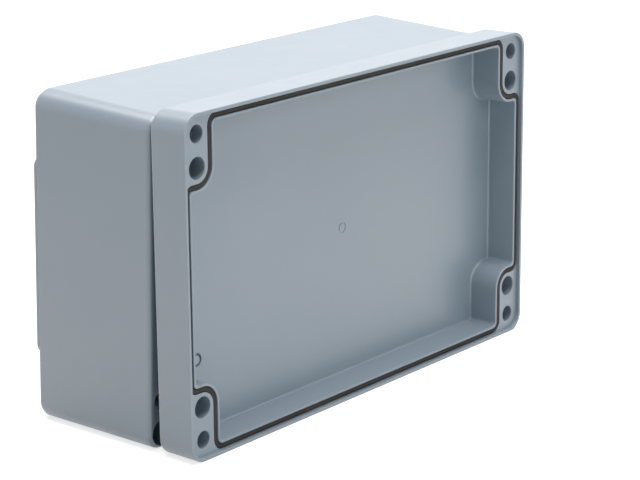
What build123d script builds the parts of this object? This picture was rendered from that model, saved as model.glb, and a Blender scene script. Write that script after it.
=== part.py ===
"""Die-cast aluminium enclosure, shown open, in millimetres.

The deep base stands on one long side with its rim turned away (+Y). The shallow lid
stands in front of it on the same side, its inside turned forward (-Y). The outer walls
have draft, so each casting, flat on the ground, leans a little towards the other, and
they come together at the top. X runs along the length, Z is up and the origin is on the ground,
under the middle of the pair.

Base and lid are each drawn in a frame of their own: x along the length, y across it, and
z pointing out of the open side, with z = 0 at the flat tops of the corner pillars.
"""

import os
from math import cos, radians, sin, tan

from build123d import *

# Outside of both castings, at the parting line
length = 260.0
width = 160.0
corner_radius = 9.0
base_inset = 0.5  # how far the base's edge stays inside the lid's
base_draft = 1.2  # degrees, on the outer walls
lid_draft = 0.8
base_edge_radius = 2.2
lid_edge_radius = 1.5
base_height = 69.2  # from the ledge that the lid's lip meets to the closed face
lid_height = 20.3  # from the lip to the closed face

# Joint between the castings
lip_thickness = 1.7
lip_height = 1.8
ledge_clearance = 0.2
groove_width = 2.8
groove_depth = 3.6
inner_lip = 1.3
inner_lip_rise = 0.25
tongue_width = 2.2
tongue_height = 1.8

# Corner pillars, outside the seal: a lid screw hole and a fixing hole in each
pillar_inset = 10.0  # from the ends to the centres of both holes
screw_inset = 9.65  # from the long sides to the lid screws' centres
fixing_inset = 25.0  # from the long sides to the fixing holes' centres
pillar_reach = 8.4  # from the fixing hole's centre to the seal's centre line
seal_corner_radius = 4.6
seal_bend_radius = 3.5

# Inside
inner_draft = 1.0
cavity_corner_radius = 2.0
base_floor = 3.5
lid_floor = 2.6
floor_fillet = 1.0

# Small roundings that the paint and the mould leave on the edges of the open side
rim_round = 0.4
lip_inner_round = 0.25
groove_round = 0.3
cavity_round = 0.4
tongue_round = 0.5
hole_round = 0.4

# Lid screws, M6, and their holes
screw_radius = 3.0
screw_length = 25.0
screw_point = 0.8
screw_head_radius = 5.25
screw_head_height = 3.3
screw_head_rim = 0.6
screw_crown_radius = 3.0
socket_across_flats = 4.0
socket_depth = 2.0
thread_clearance = 0.05
tapped_spare_depth = 2.0
lid_screw_hole_radius = 3.3
lid_relief_radius = 4.05
lid_relief_depth = 9.0
lid_counterbore_radius = 6.5
lid_counterbore_depth = 5.0
core_radius = 6.4
core_depth = 36.0

# Fixing holes, through lid and base
lid_fixing_radius = 5.05
base_fixing_bore = 5.25
base_fixing_radius = 3.25
base_fixing_web = 6.0
base_recess_radius = 5.0
base_recess_depth = 1.5

# Bosses on the base's floor, and the earth terminal on one of its own
boss_radius = 5.0
boss_height = 6.0
boss_hole_radius = 1.65
boss_hole_depth = 8.0
boss_end_inset = 40.0
boss_side_inset = 25.0
boss_fillet = 1.0
earth_x = 55.0
earth_y = -55.0
earth_boss_radius = 6.5
earth_thread_radius = 2.5
earth_screw_length = 7.0
earth_head_radius = 4.6
earth_head_height = 3.2
earth_head_rim = 2.4
earth_crown_radius = 3.4
earth_slot_width = 1.2
earth_slot_depth = 1.4
earth_washer_radius = 5.5
earth_washer_thickness = 1.2
washer_clearance = 0.2

# Seal cord
gasket_clearance = 0.1
gasket_height = 3.35
gasket_round = 0.7

# Round marks that the mould leaves on the lid's floor
centre_mark_x = 0.5
centre_mark_y = -0.2
centre_mark_radius = 2.7
centre_mark_width = 0.6
centre_mark_depth = 0.25
side_mark_end_inset = 23.9
side_mark_side_inset = 40.4
side_mark_radius = 3.3
side_mark_width = 1.2
side_mark_depth = 1.4

# How close the lid stands to the base, where they come together at the top, and how far
# the base stands to the left of it
rest_gap = 0.95
base_shift = 0.8

pillar_spacing = length - 2 * pillar_inset
screw_spacing = width - 2 * screw_inset
fixing_spacing = width - 2 * fixing_inset
boss_spacing_x = length - 2 * boss_end_inset
boss_spacing_y = width - 2 * boss_side_inset
side_mark_x = side_mark_end_inset - length / 2
side_mark_y = side_mark_side_inset - width / 2
base_depth = base_height + lip_height  # pillar tops to closed face
lid_depth = lid_height - lip_height
seal_inset = lip_thickness + groove_width / 2
cavity_gap = groove_width / 2 + inner_lip
base_cavity_depth = base_depth - base_floor
lid_cavity_depth = lid_depth - lid_floor
tapped_depth = screw_length + tapped_spare_depth

# Each casting stands flat on a side wall that has draft, so it leans by that draft. The
# middle of its rim is half a width up, less or more what the rim's height makes of it.
base_sin = sin(radians(base_draft))
base_cos = cos(radians(base_draft))
lid_sin = sin(radians(lid_draft))
lid_cos = cos(radians(lid_draft))
base_half_width = width / 2 - base_inset
base_centre_z = base_half_width * base_cos + lip_height * base_sin
lid_centre_z = width / 2 * lid_cos - lip_height * lid_sin

# Where the flat of the base's closed face ends at the top, with the rim's middle at y = 0,
# and from there the lid's middle, rest_gap away from that point
face_end = base_half_width - base_height * tan(radians(base_draft)) - base_edge_radius
touch_y = -face_end * base_sin - base_depth * base_cos
touch_z = base_centre_z + face_end * base_cos - base_depth * base_sin
lid_face_z = lid_centre_z - lid_depth * lid_sin
lid_lag = (rest_gap + (touch_z - lid_face_z) * lid_sin) / lid_cos
lid_y = touch_y - lid_depth * lid_cos - lid_lag

# The pair is centred along X between its ends, and along Y between the heads of the lower
# screws, or the tongue's foot if that reaches further, and the foot of the lid's lip
tongue_foot = width / 2 - seal_inset + tongue_width / 2
tongue_y = tongue_foot * base_sin + tongue_height * base_cos
head_foot = screw_spacing / 2 + screw_crown_radius
head_y = head_foot * base_sin + screw_head_height * base_cos
front_y = lid_y - width / 2 * lid_sin - lip_height * lid_cos
centre_y = (max(tongue_y, head_y) + front_y) / 2
left_reach = max(length / 2, length / 2 - base_inset + base_shift)
centre_x = (length / 2 - left_reach) / 2

base_frame = Plane(
    origin=(-base_shift - centre_x, -centre_y, base_centre_z),
    x_dir=(-1, 0, 0),
    z_dir=(0, base_cos, base_sin),
)
lid_frame = Plane(
    origin=(-centre_x, lid_y - centre_y, lid_centre_z),
    x_dir=(1, 0, 0),
    z_dir=(0, -lid_cos, lid_sin),
)


def seal_outline(gap, corner, bend):
    """Closed line that runs gap inside the seal's centre line, round the pillars."""
    side_x = length / 2 - seal_inset - gap
    side_y = width / 2 - seal_inset - gap
    pillar_x = pillar_spacing / 2 - pillar_reach - gap
    pillar_y = fixing_spacing / 2 - pillar_reach - gap
    with BuildSketch(mode=Mode.PRIVATE) as outline:
        Rectangle(2 * side_x, 2 * pillar_y)
        Rectangle(2 * pillar_x, 2 * side_y)
        ends = outline.vertices().filter_by(lambda v: abs(abs(v.Y) - side_y) < 0.01)
        fillet(ends, corner)
        sides = outline.vertices().filter_by(lambda v: abs(abs(v.X) - side_x) < 0.01)
        fillet(sides, bend)
        inner = outline.vertices().filter_by(
            lambda v: abs(abs(v.X) - pillar_x) < 0.01 and abs(abs(v.Y) - pillar_y) < 0.01
        )
        fillet(inner, pillar_reach + gap)
    return outline.sketch


def flat_face(part, frame, height):
    """The largest flat face of the part that lies at that height in the frame."""
    level = frame.offset(height)
    faces = part.faces().filter_by(
        lambda f: f.geom_type == GeomType.PLANE
        and abs(level.to_local_coords(f.center()).Z) < 0.01
        and abs(abs(f.normal_at().dot(level.z_dir)) - 1) < 0.001
    )
    return faces.sort_by(SortBy.AREA)[-1]


def hole_rims(part, frame, height, radius):
    """The circles of that radius that lie at that height in the frame."""
    level = frame.offset(height)
    return part.edges().filter_by(GeomType.CIRCLE).filter_by(
        lambda e: abs(level.to_local_coords(e.arc_center).Z) < 0.01
        and abs(e.radius - radius) < 0.001
        and e.is_closed
    )


def seal_band(half_band):
    """Flat ring of that half width, along the seal's centre line."""
    outer = seal_outline(
        -half_band, seal_corner_radius + half_band, seal_bend_radius + half_band
    )
    inner = seal_outline(
        half_band, seal_corner_radius - half_band, seal_bend_radius - half_band
    )
    return outer - inner


# Base: one casting. Its rim has a ledge for the lid's lip and a tongue that presses into
# the lid's seal, and its four pillars carry the lid screws and the fixing screws.
with BuildPart() as base_shell:
    with BuildSketch(base_frame.offset(-lip_height)):
        RectangleRounded(length - 2 * base_inset, 2 * base_half_width, corner_radius)
    extrude(amount=-base_height, taper=base_draft)
    fillet(flat_face(base_shell, base_frame, -base_depth).edges(), base_edge_radius)
    ledge = lip_thickness + ledge_clearance
    with BuildSketch(base_frame.offset(-lip_height)):
        RectangleRounded(length - 2 * ledge, width - 2 * ledge, corner_radius - ledge)
    extrude(amount=lip_height)
    tongue_inside = seal_outline(
        tongue_width / 2,
        seal_corner_radius - tongue_width / 2,
        seal_bend_radius - tongue_width / 2,
    )
    with BuildSketch(base_frame):
        add(tongue_inside)
    extrude(amount=-inner_lip_rise, mode=Mode.SUBTRACT)
    with BuildSketch(base_frame):
        add(seal_outline(cavity_gap, cavity_corner_radius, cavity_corner_radius))
    extrude(amount=-base_cavity_depth, taper=inner_draft, mode=Mode.SUBTRACT)
    fillet(flat_face(base_shell, base_frame, -base_cavity_depth).edges(), floor_fillet)
    fillet(flat_face(base_shell, base_frame, -lip_height).outer_wire().edges(), rim_round)
    fillet(flat_face(base_shell, base_frame, 0).outer_wire().edges(), rim_round)
    cavity_mouth = flat_face(base_shell, base_frame, -inner_lip_rise).inner_wires()[0]
    fillet(cavity_mouth.edges(), cavity_round)
    with BuildSketch(base_frame):
        add(seal_band(tongue_width / 2))
    extrude(amount=tongue_height)
    fillet(flat_face(base_shell, base_frame, tongue_height).edges(), tongue_round)
    floor_frame = base_frame.offset(-base_cavity_depth)
    with BuildSketch(floor_frame):
        with GridLocations(boss_spacing_x, boss_spacing_y, 2, 2):
            Circle(boss_radius)
        with Locations((earth_x, earth_y)):
            Circle(earth_boss_radius)
    extrude(amount=boss_height)
    boss_feet = base_shell.edges().filter_by(GeomType.CIRCLE).filter_by(
        lambda e: abs(floor_frame.to_local_coords(e.arc_center).Z) < 0.01
        and min(abs(e.radius - boss_radius), abs(e.radius - earth_boss_radius)) < 0.01
    )
    fillet(boss_feet, boss_fillet)
    with BuildSketch(floor_frame.offset(boss_height)):
        with GridLocations(boss_spacing_x, boss_spacing_y, 2, 2):
            Circle(boss_hole_radius)
        with Locations((earth_x, earth_y)):
            Circle(earth_thread_radius + thread_clearance)
    extrude(amount=-boss_hole_depth, mode=Mode.SUBTRACT)
    with BuildSketch(base_frame):
        with GridLocations(pillar_spacing, screw_spacing, 2, 2):
            Circle(screw_radius + thread_clearance)
    extrude(amount=-tapped_depth, mode=Mode.SUBTRACT)
    with BuildSketch(base_frame.offset(-base_depth)):
        with GridLocations(pillar_spacing, screw_spacing, 2, 2):
            Circle(core_radius)
    extrude(amount=core_depth, mode=Mode.SUBTRACT)
    with BuildSketch(base_frame):
        with GridLocations(pillar_spacing, fixing_spacing, 2, 2):
            Circle(base_fixing_bore)
    extrude(amount=base_fixing_web - base_depth, mode=Mode.SUBTRACT)
    with BuildSketch(base_frame.offset(-base_depth)):
        with GridLocations(pillar_spacing, fixing_spacing, 2, 2):
            Circle(base_fixing_radius)
    extrude(amount=base_fixing_web, mode=Mode.SUBTRACT)
    with BuildSketch(base_frame.offset(-base_depth)):
        with GridLocations(pillar_spacing, fixing_spacing, 2, 2):
            Circle(base_recess_radius)
    extrude(amount=base_recess_depth, mode=Mode.SUBTRACT)
    rims = hole_rims(base_shell, base_frame, 0, base_fixing_bore)
    rims += hole_rims(base_shell, base_frame, -base_depth, base_recess_radius)
    fillet(rims, hole_round)
base_shell.part.label = "base_shell"

# Lid: one casting, with a raised lip all round and the seal's groove just inside it.
with BuildPart() as lid_shell:
    with BuildSketch(lid_frame.offset(lip_height)):
        RectangleRounded(length, width, corner_radius)
    extrude(amount=-lid_height, taper=lid_draft)
    fillet(flat_face(lid_shell, lid_frame, -lid_depth).edges(), lid_edge_radius)
    with BuildSketch(lid_frame):
        RectangleRounded(
            length - 2 * lip_thickness, width - 2 * lip_thickness, corner_radius - lip_thickness
        )
    extrude(amount=lip_height, mode=Mode.SUBTRACT)
    groove_inside = seal_outline(
        groove_width / 2,
        seal_corner_radius - groove_width / 2,
        seal_bend_radius - groove_width / 2,
    )
    with BuildSketch(lid_frame):
        add(groove_inside)
    extrude(amount=inner_lip_rise)
    with BuildSketch(lid_frame):
        add(seal_band(groove_width / 2))
    extrude(amount=-groove_depth, mode=Mode.SUBTRACT)
    with BuildSketch(lid_frame.offset(inner_lip_rise)):
        add(seal_outline(cavity_gap, cavity_corner_radius, cavity_corner_radius))
    extrude(amount=-lid_cavity_depth - inner_lip_rise, taper=inner_draft, mode=Mode.SUBTRACT)
    fillet(flat_face(lid_shell, lid_frame, -lid_cavity_depth).edges(), floor_fillet)
    fillet(flat_face(lid_shell, lid_frame, lip_height).outer_wire().edges(), rim_round)
    fillet(flat_face(lid_shell, lid_frame, lip_height).inner_wires()[0].edges(), lip_inner_round)
    inner_lip_top = flat_face(lid_shell, lid_frame, inner_lip_rise)
    fillet(inner_lip_top.outer_wire().edges(), groove_round)
    inner_lip_top = flat_face(lid_shell, lid_frame, inner_lip_rise)
    fillet(inner_lip_top.inner_wires()[0].edges(), cavity_round)
    with BuildSketch(lid_frame.offset(-lid_cavity_depth)):
        with Locations((centre_mark_x, centre_mark_y)):
            Circle(centre_mark_radius)
            Circle(centre_mark_radius - centre_mark_width, mode=Mode.SUBTRACT)
    extrude(amount=-centre_mark_depth, mode=Mode.SUBTRACT)
    with BuildSketch(lid_frame.offset(-lid_cavity_depth)):
        with Locations((side_mark_x, side_mark_y)):
            Circle(side_mark_radius)
            Circle(side_mark_radius - side_mark_width, mode=Mode.SUBTRACT)
    extrude(amount=-side_mark_depth, mode=Mode.SUBTRACT)
    with BuildSketch(lid_frame):
        with GridLocations(pillar_spacing, screw_spacing, 2, 2):
            Circle(lid_screw_hole_radius)
        with GridLocations(pillar_spacing, fixing_spacing, 2, 2):
            Circle(lid_fixing_radius)
    extrude(amount=-lid_depth, mode=Mode.SUBTRACT)
    with BuildSketch(lid_frame):
        with GridLocations(pillar_spacing, screw_spacing, 2, 2):
            Circle(lid_relief_radius)
    extrude(amount=-lid_relief_depth, mode=Mode.SUBTRACT)
    with BuildSketch(lid_frame.offset(-lid_depth)):
        with GridLocations(pillar_spacing, screw_spacing, 2, 2):
            Circle(lid_counterbore_radius)
    extrude(amount=lid_counterbore_depth, mode=Mode.SUBTRACT)
    rims = hole_rims(lid_shell, lid_frame, 0, lid_relief_radius)
    rims += hole_rims(lid_shell, lid_frame, 0, lid_fixing_radius)
    rims += hole_rims(lid_shell, lid_frame, -lid_depth, lid_counterbore_radius)
    rims += hole_rims(lid_shell, lid_frame, -lid_depth, lid_fixing_radius)
    fillet(rims, hole_round)
lid_shell.part.label = "lid_shell"

# Seal: one endless cord of foamed rubber, laid on the floor of the lid's groove
with BuildPart() as lid_gasket:
    with BuildSketch(lid_frame.offset(-groove_depth)):
        add(seal_band(groove_width / 2 - gasket_clearance))
    extrude(amount=gasket_height)
    cord_top = flat_face(lid_gasket, lid_frame, gasket_height - groove_depth)
    fillet(cord_top.edges(), gasket_round)
lid_gasket.part.label = "lid_gasket"


def turned_screw(frame, radius, shank, point, head_radius, head_height, rim, crown):
    """Screw turned about the frame's z axis, with the underside of its head at z = 0."""
    profile = Plane(origin=frame.origin, x_dir=frame.x_dir, z_dir=-frame.y_dir)
    with BuildPart() as screw:
        with BuildSketch(profile):
            with BuildLine():
                foot = Polyline(
                    (0, head_height),
                    (0, -shank),
                    (radius - point, -shank),
                    (radius, point - shank),
                    (radius, 0),
                    (head_radius, 0),
                    (head_radius, rim),
                )
                dome = TangentArc(foot @ 1, (crown, head_height), tangent=(0, 1))
                Line(dome @ 1, foot @ 0)
            make_face()
        revolve(axis=Axis(frame.origin, frame.z_dir))
    return screw.part


# Lid screws: steel, M6, button head with a hexagon socket. While the lid is off they are
# kept in the base's tapped holes, so their heads sit on the pillars. Left and right are
# as seen from the front, where the base's own x axis points the other way.
lid_screws = {}
for left_right, along in (("left", pillar_spacing / 2), ("right", -pillar_spacing / 2)):
    for low_high, across in (("lower", -screw_spacing / 2), ("upper", screw_spacing / 2)):
        screw_frame = Plane(
            origin=base_frame.from_local_coords(Vector(along, across, 0)),
            x_dir=base_frame.x_dir,
            z_dir=base_frame.z_dir,
        )
        with BuildPart() as lid_screw:
            add(
                turned_screw(
                    screw_frame,
                    screw_radius,
                    screw_length,
                    screw_point,
                    screw_head_radius,
                    screw_head_height,
                    screw_head_rim,
                    screw_crown_radius,
                )
            )
            with BuildSketch(screw_frame.offset(screw_head_height)):
                RegularPolygon(socket_across_flats / 2, 6, major_radius=False)
            extrude(amount=-socket_depth, mode=Mode.SUBTRACT)
        lid_screws[f"lid_screw_{low_high}_{left_right}"] = lid_screw
for name, lid_screw in lid_screws.items():
    lid_screw.part.label = name

# Earth terminal: a slotted brass screw that clamps the earth wire under a washer
earth_seat = Plane(
    origin=floor_frame.from_local_coords(Vector(earth_x, earth_y, boss_height)),
    x_dir=base_frame.x_dir,
    z_dir=base_frame.z_dir,
)
with BuildPart() as earth_washer:
    with BuildSketch(earth_seat):
        Circle(earth_washer_radius)
        Circle(earth_thread_radius + washer_clearance, mode=Mode.SUBTRACT)
    extrude(amount=earth_washer_thickness)
earth_washer.part.label = "earth_washer"

earth_head = earth_seat.offset(earth_washer_thickness)
with BuildPart() as earth_screw:
    add(
        turned_screw(
            earth_head,
            earth_thread_radius,
            earth_screw_length,
            screw_point,
            earth_head_radius,
            earth_head_height,
            earth_head_rim,
            earth_crown_radius,
        )
    )
    with BuildSketch(earth_head.offset(earth_head_height)):
        Rectangle(3 * earth_head_radius, earth_slot_width)
    extrude(amount=-earth_slot_depth, mode=Mode.SUBTRACT)
earth_screw.part.label = "earth_screw"

os.makedirs("parts", exist_ok=True)
export_step(base_shell.part, "parts/base_shell.step")
export_step(lid_shell.part, "parts/lid_shell.step")
export_step(lid_gasket.part, "parts/lid_gasket.step")
for name, lid_screw in lid_screws.items():
    export_step(lid_screw.part, f"parts/{name}.step")
export_step(earth_screw.part, "parts/earth_screw.step")
export_step(earth_washer.part, "parts/earth_washer.step")
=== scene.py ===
"""A die-cast aluminium enclosure, open: the deep base stands on its side with its rim turned
away, and the shallow lid rests against it with its inside and its seal towards the viewer."""

import math

import bpy
from mathutils import Matrix, Vector


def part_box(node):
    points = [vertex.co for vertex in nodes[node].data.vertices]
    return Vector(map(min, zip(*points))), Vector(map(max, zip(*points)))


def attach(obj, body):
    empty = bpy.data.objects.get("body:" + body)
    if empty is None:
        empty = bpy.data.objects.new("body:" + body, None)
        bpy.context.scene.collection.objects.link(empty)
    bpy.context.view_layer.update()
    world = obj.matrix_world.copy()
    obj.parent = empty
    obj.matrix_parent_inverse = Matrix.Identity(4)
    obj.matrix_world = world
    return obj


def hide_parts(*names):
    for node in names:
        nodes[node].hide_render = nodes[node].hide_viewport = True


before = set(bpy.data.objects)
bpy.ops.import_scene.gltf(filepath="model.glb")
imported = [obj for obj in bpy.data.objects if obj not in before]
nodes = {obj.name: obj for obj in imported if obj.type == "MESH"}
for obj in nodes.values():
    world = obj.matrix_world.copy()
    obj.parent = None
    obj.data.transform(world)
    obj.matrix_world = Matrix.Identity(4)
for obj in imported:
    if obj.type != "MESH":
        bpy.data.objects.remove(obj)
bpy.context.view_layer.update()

# Camera, a little above and to the left of the lid. Its place and its focal length come
# from the lid's eight holes and from the outlines of both castings.
camera_data = bpy.data.cameras.new("camera")
camera_data.lens = 125.68
camera_data.sensor_width = 36.0
camera_data.clip_start = 0.05
camera = bpy.data.objects.new("camera", camera_data)
bpy.context.collection.objects.link(camera)
look = Vector((0.74699, 0.60530, -0.27498)).normalized()
side = Vector((0.63005, -0.77655, 0.00216)).normalized()
rise = side.cross(look).normalized()
camera.matrix_world = Matrix.Translation((-0.81727, -0.68058, 0.37188)) @ Matrix(
    (
        (side.x, rise.x, -look.x, 0.0),
        (side.y, rise.y, -look.y, 0.0),
        (side.z, rise.z, -look.z, 0.0),
        (0.0, 0.0, 0.0, 1.0),
    )
)
bpy.context.scene.camera = camera
bpy.context.scene.view_settings.view_transform = "Standard"

# Studio: a white world and a white table, which the camera sees as plain white. They light
# the castings only a little, and the table still takes the castings' soft shadow.
world = bpy.data.worlds.new("studio")
bpy.context.scene.world = world
world.use_nodes = True
sky = world.node_tree
sky.nodes.clear()
sky_out = sky.nodes.new("ShaderNodeOutputWorld")
sky_mix = sky.nodes.new("ShaderNodeMixShader")
sky_light = sky.nodes.new("ShaderNodeBackground")
sky_light.inputs["Color"].default_value = (0.97, 0.985, 1.0, 1.0)
sky_light.inputs["Strength"].default_value = 0.26
sky_seen = sky.nodes.new("ShaderNodeBackground")
sky_seen.inputs["Color"].default_value = (1.0, 1.0, 1.0, 1.0)

# What shines sees the room darker towards the ceiling, so that the top faces are pale at a
# flat angle and the rounded edges beside them stay grey. The camera sees it all white.
sky_way = sky.nodes.new("ShaderNodeTexCoord")
sky_split = sky.nodes.new("ShaderNodeSeparateXYZ")
ceiling_shade = sky.nodes.new("ShaderNodeMapRange")
ceiling_shade.inputs["From Min"].default_value = 0.32
ceiling_shade.inputs["From Max"].default_value = 0.50
ceiling_shade.inputs["To Min"].default_value = 1.40
ceiling_shade.inputs["To Max"].default_value = 0.15
sky_path = sky.nodes.new("ShaderNodeLightPath")
seen_level = sky.nodes.new("ShaderNodeMath")
seen_level.operation = "MAXIMUM"
sky.links.new(sky_way.outputs["Generated"], sky_split.inputs[0])
sky.links.new(sky_split.outputs["Z"], ceiling_shade.inputs["Value"])
sky.links.new(ceiling_shade.outputs[0], seen_level.inputs[0])
sky.links.new(sky_path.outputs["Is Camera Ray"], seen_level.inputs[1])
sky.links.new(seen_level.outputs[0], sky_seen.inputs["Strength"])


def seen_directly(tree):
    """A socket that is 1 on rays from the camera, a glossy or a clear surface, and else 0."""
    path = tree.nodes.new("ShaderNodeLightPath")
    add_glossy = tree.nodes.new("ShaderNodeMath")
    add_glossy.operation = "ADD"
    add_clear = tree.nodes.new("ShaderNodeMath")
    add_clear.operation = "ADD"
    add_clear.use_clamp = True
    tree.links.new(path.outputs["Is Camera Ray"], add_glossy.inputs[0])
    tree.links.new(path.outputs["Is Glossy Ray"], add_glossy.inputs[1])
    tree.links.new(add_glossy.outputs[0], add_clear.inputs[0])
    tree.links.new(path.outputs["Is Transmission Ray"], add_clear.inputs[1])
    return add_clear.outputs[0]


sky.links.new(seen_directly(sky), sky_mix.inputs[0])
sky.links.new(sky_light.outputs[0], sky_mix.inputs[1])
sky.links.new(sky_seen.outputs[0], sky_mix.inputs[2])
sky.links.new(sky_mix.outputs[0], sky_out.inputs["Surface"])

table_mesh = bpy.data.meshes.new("table")
table_mesh.from_pydata(
    [(-6.0, -6.0, 0.0), (6.0, -6.0, 0.0), (6.0, 6.0, 0.0), (-6.0, 6.0, 0.0)], [], [(0, 1, 2, 3)]
)
table = bpy.data.objects.new("table", table_mesh)
bpy.context.collection.objects.link(table)
table_white = bpy.data.materials.new("table_white")
table_white.use_nodes = True
cloth = table_white.node_tree
cloth.nodes.clear()
cloth_out = cloth.nodes.new("ShaderNodeOutputMaterial")
cloth_add = cloth.nodes.new("ShaderNodeAddShader")
cloth_matt = cloth.nodes.new("ShaderNodeBsdfDiffuse")
cloth_matt.inputs["Color"].default_value = (0.50, 0.50, 0.50, 1.0)
cloth_glow = cloth.nodes.new("ShaderNodeEmission")
glow_level = cloth.nodes.new("ShaderNodeMath")
glow_level.operation = "MULTIPLY"
glow_level.inputs[1].default_value = 0.72
cloth.links.new(seen_directly(cloth), glow_level.inputs[0])
cloth.links.new(glow_level.outputs[0], cloth_glow.inputs["Strength"])
cloth.links.new(cloth_matt.outputs[0], cloth_add.inputs[0])
cloth.links.new(cloth_glow.outputs[0], cloth_add.inputs[1])
cloth.links.new(cloth_add.outputs[0], cloth_out.inputs["Surface"])
table_mesh.materials.append(table_white)


def soft_box(name, place, target, width, height, power, tint):
    """Stands a wide studio lamp at that place, turned to the target."""
    data = bpy.data.lights.new(name, "AREA")
    data.shape = "RECTANGLE"
    data.size = width
    data.size_y = height
    data.energy = power
    data.color = tint
    lamp = bpy.data.objects.new(name, data)
    bpy.context.collection.objects.link(lamp)
    lamp.location = place
    lamp.rotation_euler = (Vector(target) - Vector(place)).to_track_quat("-Z", "Y").to_euler()


warm = (1.0, 0.865, 0.83)
white = (1.0, 1.0, 1.0)
soft_box("top_lamp", (0.05, 0.1, 1.6), (0.0, 0.0, 0.0), 1.6, 1.6, 60.5, warm)
soft_box("front_lamp", (-0.1, -1.9, 0.9), (0.0, 0.0, 0.08), 1.4, 1.2, 9.9, white)

# Castings: the base and the lid, die-cast aluminium under a semi-gloss light grey paint,
# sprayed on with a fine orange peel. The cast skin shows through as a faint unevenness.
painted_casting = bpy.data.materials.new("painted_casting")
painted_casting.use_nodes = True
paint = painted_casting.node_tree
paint_shader = paint.nodes["Principled BSDF"]
paint_place = paint.nodes.new("ShaderNodeTexCoord")
paint_cloud = paint.nodes.new("ShaderNodeTexNoise")
paint_cloud.inputs["Scale"].default_value = 14.0
paint_cloud.inputs["Detail"].default_value = 3.0
paint_tone = paint.nodes.new("ShaderNodeValToRGB")
paint_tone.color_ramp.elements[0].position = 0.3
paint_tone.color_ramp.elements[0].color = (0.205, 0.281, 0.336, 1.0)
paint_tone.color_ramp.elements[1].position = 0.7
paint_tone.color_ramp.elements[1].color = (0.219, 0.295, 0.350, 1.0)
paint_peel = paint.nodes.new("ShaderNodeTexNoise")
paint_peel.inputs["Scale"].default_value = 620.0
paint_peel.inputs["Detail"].default_value = 2.0
paint_skin = paint.nodes.new("ShaderNodeTexNoise")
paint_skin.inputs["Scale"].default_value = 90.0
paint_skin.inputs["Detail"].default_value = 4.0
peel_bump = paint.nodes.new("ShaderNodeBump")
peel_bump.inputs["Strength"].default_value = 0.25
peel_bump.inputs["Distance"].default_value = 0.00006
skin_bump = paint.nodes.new("ShaderNodeBump")
skin_bump.inputs["Strength"].default_value = 0.30
skin_bump.inputs["Distance"].default_value = 0.00012
paint_gloss = paint.nodes.new("ShaderNodeMapRange")
paint_gloss.inputs["To Min"].default_value = 0.34
paint_gloss.inputs["To Max"].default_value = 0.44
paint.links.new(paint_place.outputs["Object"], paint_cloud.inputs["Vector"])
paint.links.new(paint_place.outputs["Object"], paint_peel.inputs["Vector"])
paint.links.new(paint_place.outputs["Object"], paint_skin.inputs["Vector"])
paint.links.new(paint_cloud.outputs[0], paint_tone.inputs[0])
paint.links.new(paint_tone.outputs["Color"], paint_shader.inputs["Base Color"])
paint.links.new(paint_skin.outputs[0], paint_gloss.inputs["Value"])
paint.links.new(paint_gloss.outputs[0], paint_shader.inputs["Roughness"])
paint.links.new(paint_skin.outputs[0], skin_bump.inputs["Height"])
paint.links.new(paint_peel.outputs[0], peel_bump.inputs["Height"])
paint.links.new(skin_bump.outputs[0], peel_bump.inputs["Normal"])
paint.links.new(peel_bump.outputs[0], paint_shader.inputs["Normal"])
paint_shader.inputs["IOR"].default_value = 1.5
paint_shader.inputs["Coat Weight"].default_value = 0.7
paint_shader.inputs["Coat Roughness"].default_value = 0.38
for name in ("base_shell", "lid_shell"):
    nodes[name].material_slots[0].material = painted_casting

# Seal: an endless cord of dark foamed rubber, pressed into the lid's groove. Its skin is
# matt, with fine closed cells.
seal_rubber = bpy.data.materials.new("seal_rubber")
seal_rubber.use_nodes = True
rubber = seal_rubber.node_tree
rubber_shader = rubber.nodes["Principled BSDF"]
rubber_shader.inputs["Roughness"].default_value = 0.82
rubber_place = rubber.nodes.new("ShaderNodeTexCoord")
rubber_cells = rubber.nodes.new("ShaderNodeTexVoronoi")
rubber_cells.inputs["Scale"].default_value = 1500.0
rubber_cloud = rubber.nodes.new("ShaderNodeTexNoise")
rubber_cloud.inputs["Scale"].default_value = 60.0
rubber_tone = rubber.nodes.new("ShaderNodeValToRGB")
rubber_tone.color_ramp.elements[0].position = 0.35
rubber_tone.color_ramp.elements[0].color = (0.019, 0.019, 0.017, 1.0)
rubber_tone.color_ramp.elements[1].position = 0.7
rubber_tone.color_ramp.elements[1].color = (0.034, 0.034, 0.030, 1.0)
rubber_bump = rubber.nodes.new("ShaderNodeBump")
rubber_bump.inputs["Strength"].default_value = 0.5
rubber_bump.inputs["Distance"].default_value = 0.0001
rubber.links.new(rubber_place.outputs["Object"], rubber_cells.inputs["Vector"])
rubber.links.new(rubber_place.outputs["Object"], rubber_cloud.inputs["Vector"])
rubber.links.new(rubber_cloud.outputs[0], rubber_tone.inputs[0])
rubber.links.new(rubber_tone.outputs["Color"], rubber_shader.inputs["Base Color"])
rubber.links.new(rubber_cells.outputs["Distance"], rubber_bump.inputs["Height"])
rubber.links.new(rubber_bump.outputs[0], rubber_shader.inputs["Normal"])
nodes["lid_gasket"].material_slots[0].material = seal_rubber

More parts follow.
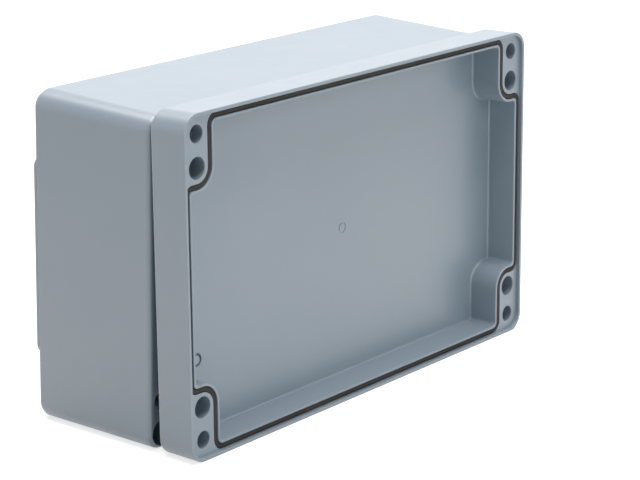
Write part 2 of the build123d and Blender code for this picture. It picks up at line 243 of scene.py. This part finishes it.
# Lid screws: four M6 button heads of zinc-plated steel, turned, with a rolled thread and a
# hexagon socket. While the lid is off they are kept in the base's tapped holes.
screw_steel = bpy.data.materials.new("screw_steel")
screw_steel.use_nodes = True
steel = screw_steel.node_tree
steel_shader = steel.nodes["Principled BSDF"]
steel_shader.inputs["Metallic"].default_value = 1.0
steel_place = steel.nodes.new("ShaderNodeTexCoord")
steel_cloud = steel.nodes.new("ShaderNodeTexNoise")
steel_cloud.inputs["Scale"].default_value = 500.0
steel_cloud.inputs["Detail"].default_value = 4.0
steel_tone = steel.nodes.new("ShaderNodeValToRGB")
steel_tone.color_ramp.elements[0].position = 0.3
steel_tone.color_ramp.elements[0].color = (0.50, 0.51, 0.53, 1.0)
steel_tone.color_ramp.elements[1].position = 0.7
steel_tone.color_ramp.elements[1].color = (0.62, 0.63, 0.64, 1.0)
steel_gloss = steel.nodes.new("ShaderNodeMapRange")
steel_gloss.inputs["To Min"].default_value = 0.22
steel_gloss.inputs["To Max"].default_value = 0.40
steel.links.new(steel_place.outputs["Object"], steel_cloud.inputs["Vector"])
steel.links.new(steel_cloud.outputs[0], steel_tone.inputs[0])
steel.links.new(steel_tone.outputs["Color"], steel_shader.inputs["Base Color"])
steel.links.new(steel_cloud.outputs[0], steel_gloss.inputs["Value"])
steel.links.new(steel_gloss.outputs[0], steel_shader.inputs["Roughness"])

# The profile runs from the point's centre round the outside to the socket's floor. Its
# height z is 0 under the head. A point's y is six_sided where the profile is a hexagon, and
# its last number is 1 where it has a thread.
head_edge = 0.00525
head_height = 0.0033
head_rim = 0.0006
head_bevel = 0.0002
crown = 0.0030
thread_edge = 0.0030
shank = 0.025
point = 0.0008
neck = 0.0015
socket_half = 0.0020
socket_bevel = 0.0003
socket_floor = head_height - 0.0020
drill_cone = 0.0006
six_sided = 0.001
dome = [
    (
        crown + (head_edge - crown) * math.cos(math.radians(climb)),
        0.0,
        head_rim + (head_height - head_rim) * math.sin(math.radians(climb)),
        0.0,
    )
    for climb in range(0, 91, 10)
]
profile_points = [
    (0.0, 0.0, -shank, 0.0),
    (thread_edge - point, 0.0, -shank, 1.0),
    (thread_edge, 0.0, point - shank, 1.0),
    (thread_edge, 0.0, -neck, 1.0),
    (thread_edge, 0.0, -neck / 2, 0.0),
    (thread_edge, 0.0, 0.0, 0.0),
    (head_edge - head_bevel, 0.0, 0.0, 0.0),
    (head_edge, 0.0, head_bevel, 0.0),
    *dome,
    (socket_half + 0.0004, 0.0, head_height, 0.0),
    (socket_half, six_sided, head_height - socket_bevel, 0.0),
    (socket_half, six_sided, socket_floor, 0.0),
    (0.0, six_sided, socket_floor - drill_cone, 0.0),
]
profile_data = bpy.data.curves.new("screw_profile", "CURVE")
profile_data.dimensions = "3D"
profile_line = profile_data.splines.new("POLY")
profile_line.points.add(len(profile_points) - 1)
for spot, (across, sided, up, threaded) in zip(profile_line.points, profile_points):
    spot.co = (across, sided, up, 1.0)
    spot.radius = threaded
profile = bpy.data.objects.new("screw_profile", profile_data)
bpy.context.collection.objects.link(profile)

lathe = bpy.data.node_groups.new("threaded_screw", "GeometryNodeTree")
lathe.interface.new_socket("Places", in_out="INPUT", socket_type="NodeSocketGeometry")
lathe.interface.new_socket("Profile", in_out="INPUT", socket_type="NodeSocketObject")
for label, kind, value in (
    ("Thread Radius", "NodeSocketFloat", thread_edge),
    ("Thread Depth", "NodeSocketFloat", 0.00061),
    ("Pitch", "NodeSocketFloat", 0.0010),
    ("Socket Half Width", "NodeSocketFloat", socket_half),
    ("Segments", "NodeSocketInt", 48),
    ("Rows", "NodeSocketInt", 300),
    ("Lean", "NodeSocketFloat", 0.0),
    ("Finish", "NodeSocketMaterial", None),
):
    socket = lathe.interface.new_socket(label, in_out="INPUT", socket_type=kind)
    if value is not None:
        socket.default_value = value
lathe.interface.new_socket("Screws", in_out="OUTPUT", socket_type="NodeSocketGeometry")
lathe_in = lathe.nodes.new("NodeGroupInput")
lathe_out = lathe.nodes.new("NodeGroupOutput")


def lathe_math(operation, *terms):
    """The result of a math node in the lathe's tree, where each term is a socket or a number."""
    node = lathe.nodes.new("ShaderNodeMath")
    node.operation = operation
    for slot, term in enumerate(terms):
        if isinstance(term, (int, float)):
            node.inputs[slot].default_value = term
        else:
            lathe.links.new(term, node.inputs[slot])
    return node.outputs[0]


blank = lathe.nodes.new("GeometryNodeMeshGrid")
blank.inputs["Size X"].default_value = 1.0
blank.inputs["Size Y"].default_value = 1.0
columns = lathe_math("ADD", lathe_in.outputs["Segments"], 1)
lathe.links.new(columns, blank.inputs["Vertices X"])
lathe.links.new(lathe_in.outputs["Rows"], blank.inputs["Vertices Y"])
blank_place = lathe.nodes.new("GeometryNodeInputPosition")
blank_split = lathe.nodes.new("ShaderNodeSeparateXYZ")
lathe.links.new(blank_place.outputs[0], blank_split.inputs[0])
turn_share = lathe_math("ADD", blank_split.outputs["X"], 0.5)
line_share = lathe_math("ADD", blank_split.outputs["Y"], 0.5)
profile_in = lathe.nodes.new("GeometryNodeObjectInfo")
lathe.links.new(lathe_in.outputs["Profile"], profile_in.inputs["Object"])
threaded_share = lathe.nodes.new("GeometryNodeInputRadius")
profile_spot = lathe.nodes.new("GeometryNodeSampleCurve")
profile_spot.mode = "FACTOR"
profile_spot.use_all_curves = True
lathe.links.new(profile_in.outputs["Geometry"], profile_spot.inputs["Curves"])
lathe.links.new(threaded_share.outputs[0], profile_spot.inputs["Value"])
lathe.links.new(line_share, profile_spot.inputs["Factor"])
spot_split = lathe.nodes.new("ShaderNodeSeparateXYZ")
lathe.links.new(profile_spot.outputs["Position"], spot_split.inputs[0])

# The thread: a groove whose depth goes down and up once a pitch, and which climbs one pitch
# a turn. The crests between are a little flat.
crest_gain = 1.15
thread_phase = lathe_math(
    "FRACT",
    lathe_math(
        "ADD",
        lathe_math("DIVIDE", spot_split.outputs["Z"], lathe_in.outputs["Pitch"]),
        turn_share,
    ),
)
flank = lathe_math(
    "ABSOLUTE", lathe_math("SUBTRACT", lathe_math("MULTIPLY", thread_phase, 2.0), 1.0)
)
crest = lathe_math("MINIMUM", lathe_math("MULTIPLY", flank, crest_gain), 1.0)
thread_cut = lathe_math(
    "MULTIPLY", lathe_math("SUBTRACT", 1.0, crest), lathe_in.outputs["Thread Depth"]
)
thread_wall = lathe_math("SUBTRACT", lathe_in.outputs["Thread Radius"], thread_cut)
too_wide = lathe_math(
    "MAXIMUM", lathe_math("SUBTRACT", spot_split.outputs["X"], thread_wall), 0.0
)
round_wall = lathe_math(
    "SUBTRACT",
    spot_split.outputs["X"],
    lathe_math("MULTIPLY", too_wide, profile_spot.outputs["Value"]),
)

# The socket: six flats, where the round wall is stretched to a hexagon. Edges sharper than
# the crease angle stay sharp.
crease = math.radians(32)
turn = lathe_math("MULTIPLY", turn_share, math.tau)
side_turn = lathe_math(
    "SUBTRACT",
    lathe_math(
        "MULTIPLY",
        lathe_math("FRACT", lathe_math("MULTIPLY", turn_share, 6.0)),
        math.tau / 6,
    ),
    math.tau / 12,
)
stretch = lathe_math("DIVIDE", 1.0, lathe_math("COSINE", side_turn))
six_share = lathe_math("DIVIDE", spot_split.outputs["Y"], six_sided)
wall = lathe_math(
    "MULTIPLY",
    round_wall,
    lathe_math(
        "ADD",
        1.0,
        lathe_math("MULTIPLY", lathe_math("SUBTRACT", stretch, 1.0), six_share),
    ),
)
turned_place = lathe.nodes.new("ShaderNodeCombineXYZ")
across_x = lathe_math("MULTIPLY", wall, lathe_math("COSINE", turn))
across_y = lathe_math("MULTIPLY", wall, lathe_math("SINE", turn))
lathe.links.new(across_x, turned_place.inputs["X"])
lathe.links.new(across_y, turned_place.inputs["Y"])
lathe.links.new(spot_split.outputs["Z"], turned_place.inputs["Z"])
turned = lathe.nodes.new("GeometryNodeSetPosition")
lathe.links.new(blank.outputs["Mesh"], turned.inputs["Geometry"])
lathe.links.new(turned_place.outputs[0], turned.inputs["Position"])
closed = lathe.nodes.new("GeometryNodeMergeByDistance")
closed.inputs["Distance"].default_value = 0.000002
lathe.links.new(turned.outputs[0], closed.inputs["Geometry"])
soft = lathe.nodes.new("GeometryNodeSetShadeSmooth")
lathe.links.new(closed.outputs[0], soft.inputs["Geometry"])
edge_angle = lathe.nodes.new("GeometryNodeInputMeshEdgeAngle")
sharp = lathe.nodes.new("GeometryNodeSetShadeSmooth")
sharp.domain = "EDGE"
sharp.inputs["Shade Smooth"].default_value = False
lathe.links.new(soft.outputs[0], sharp.inputs["Geometry"])
over_crease = lathe_math("GREATER_THAN", edge_angle.outputs["Unsigned Angle"], crease)
lathe.links.new(over_crease, sharp.inputs["Selection"])
placed = lathe.nodes.new("GeometryNodeInstanceOnPoints")
lathe.links.new(lathe_in.outputs["Places"], placed.inputs["Points"])
lathe.links.new(sharp.outputs[0], placed.inputs["Instance"])
tilt = lathe.nodes.new("ShaderNodeCombineXYZ")
lay_down = lathe_math("SUBTRACT", lathe_in.outputs["Lean"], math.pi / 2)
lathe.links.new(lay_down, tilt.inputs["X"])
lathe.links.new(tilt.outputs[0], placed.inputs["Rotation"])
real = lathe.nodes.new("GeometryNodeRealizeInstances")
lathe.links.new(placed.outputs[0], real.inputs[0])
finished = lathe.nodes.new("GeometryNodeSetMaterial")
lathe.links.new(real.outputs[0], finished.inputs["Geometry"])
lathe.links.new(lathe_in.outputs["Finish"], finished.inputs["Material"])
lathe.links.new(finished.outputs[0], lathe_out.inputs[0])

# The heads' undersides lie on the pillars' tops, at the base's rim. The base leans by its
# draft, and screw_rise is half the screws' spacing up that leaning rim.
base_lean = math.radians(1.2)
rim_middle = Vector((0.0, 0.0455691, 0.0795203))
up_the_rim = Vector((0.0, -math.sin(base_lean), math.cos(base_lean)))
screw_rise = 0.07035
screw_names = [name for name in nodes if name.startswith("lid_screw")]
screw_places = []
for name in screw_names:
    low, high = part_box(name)
    rise_here = screw_rise if "upper" in name else -screw_rise
    place = rim_middle + up_the_rim * rise_here
    place.x = (low[0] + high[0]) / 2
    screw_places.append(place)
place_mesh = bpy.data.meshes.new("screw_places")
place_mesh.from_pydata(screw_places, [], [])
turning = bpy.data.objects.new("screw_turning", place_mesh)
bpy.context.collection.objects.link(turning)
cut = turning.modifiers.new("threaded_screw", "NODES")
cut.node_group = lathe
inputs = {item.name: item.identifier for item in lathe.interface.items_tree}
cut[inputs["Profile"]] = profile
cut[inputs["Lean"]] = base_lean
cut[inputs["Finish"]] = screw_steel
bpy.context.view_layer.update()
screw_mesh = bpy.data.meshes.new_from_object(
    turning.evaluated_get(bpy.context.evaluated_depsgraph_get())
)
screw_mesh.name = "lid_screws"
turning.modifiers.clear()
bpy.data.objects.remove(turning)
bpy.data.objects.remove(profile)
lid_screws = bpy.data.objects.new("lid_screws", screw_mesh)
bpy.context.collection.objects.link(lid_screws)
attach(lid_screws, "root")
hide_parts(*screw_names)

# Earth terminal: a brass screw and washer on a boss inside the base.
terminal_brass = bpy.data.materials.new("terminal_brass")
terminal_brass.use_nodes = True
brass = terminal_brass.node_tree
brass_shader = brass.nodes["Principled BSDF"]
brass_shader.inputs["Metallic"].default_value = 1.0
brass_place = brass.nodes.new("ShaderNodeTexCoord")
brass_cloud = brass.nodes.new("ShaderNodeTexNoise")
brass_cloud.inputs["Scale"].default_value = 400.0
brass_cloud.inputs["Detail"].default_value = 4.0
brass_tone = brass.nodes.new("ShaderNodeValToRGB")
brass_tone.color_ramp.elements[0].position = 0.3
brass_tone.color_ramp.elements[0].color = (0.60, 0.43, 0.19, 1.0)
brass_tone.color_ramp.elements[1].position = 0.7
brass_tone.color_ramp.elements[1].color = (0.76, 0.58, 0.29, 1.0)
brass_gloss = brass.nodes.new("ShaderNodeMapRange")
brass_gloss.inputs["To Min"].default_value = 0.24
brass_gloss.inputs["To Max"].default_value = 0.42
brass.links.new(brass_place.outputs["Object"], brass_cloud.inputs["Vector"])
brass.links.new(brass_cloud.outputs[0], brass_tone.inputs[0])
brass.links.new(brass_tone.outputs["Color"], brass_shader.inputs["Base Color"])
brass.links.new(brass_cloud.outputs[0], brass_gloss.inputs["Value"])
brass.links.new(brass_gloss.outputs[0], brass_shader.inputs["Roughness"])
for name in ("earth_screw", "earth_washer"):
    nodes[name].material_slots[0].material = terminal_brass
